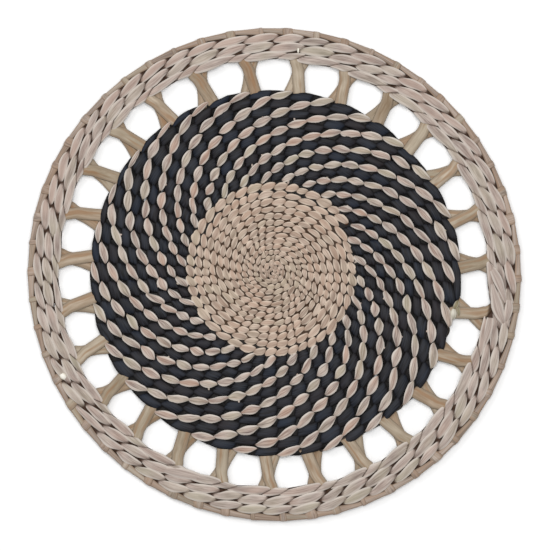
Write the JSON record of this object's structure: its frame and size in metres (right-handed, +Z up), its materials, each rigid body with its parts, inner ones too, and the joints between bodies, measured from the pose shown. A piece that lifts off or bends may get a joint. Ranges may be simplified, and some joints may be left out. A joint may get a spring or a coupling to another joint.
{
  "type": "woven round placemat",
  "caption": "Flat round table mat twined from natural and black-dyed plant strands, with a swirl band and an open ring.",
  "frame": {"origin": "middle of the mat at the underside, where it lies on the table", "axes": "+Z up, out of the mat's upper side; +X to the right and +Y away as the mat is seen from above"},
  "size_m": [0.3796, 0.3797, 0.007],
  "materials": {
    "natural_strand": "matt dried plant strand, natural beige",
    "natural_and_black_strand": "matt dried plant strand, natural and dyed black by turns",
    "folded_warp": "matt dried plant strand, darker tan",
    "bare_warp": "matt flat dried strip, tan"
  },
  "bodies": {
    "root": {"centre": "natural_strand", "swirl_band": "natural_and_black_strand", "rim": "natural_strand", "edge_fold": "folded_warp", "warp_01": "bare_warp", "warp_02": "bare_warp", "warp_03": "bare_warp", "warp_04": "bare_warp", "warp_05": "bare_warp", "warp_06": "bare_warp", "warp_07": "bare_warp", "warp_08": "bare_warp", "warp_09": "bare_warp", "warp_10": "bare_warp", "warp_11": "bare_warp", "warp_12": "bare_warp", "warp_13": "bare_warp", "warp_14": "bare_warp", "warp_15": "bare_warp", "warp_16": "bare_warp", "warp_17": "bare_warp", "warp_18": "bare_warp", "warp_19": "bare_warp", "warp_20": "bare_warp", "warp_21": "bare_warp", "warp_22": "bare_warp", "warp_23": "bare_warp", "warp_24": "bare_warp", "warp_25": "bare_warp", "warp_26": "bare_warp", "warp_27": "bare_warp", "warp_28": "bare_warp", "warp_29": "bare_warp", "warp_30": "bare_warp", "warp_31": "bare_warp", "warp_32": "bare_warp", "warp_33": "bare_warp", "warp_34": "bare_warp", "warp_35": "bare_warp", "warp_36": "bare_warp", "warp_37": "bare_warp", "warp_38": "bare_warp", "warp_39": "bare_warp", "warp_40": "bare_warp", "warp_41": "bare_warp", "warp_42": "bare_warp", "warp_43": "bare_warp", "warp_44": "bare_warp", "warp_45": "bare_warp", "warp_46": "bare_warp", "warp_47": "bare_warp", "warp_48": "bare_warp", "warp_49": "bare_warp", "warp_50": "bare_warp", "warp_51": "bare_warp", "warp_52": "bare_warp", "warp_53": "bare_warp", "warp_54": "bare_warp"}
  },
  "joints": []
}
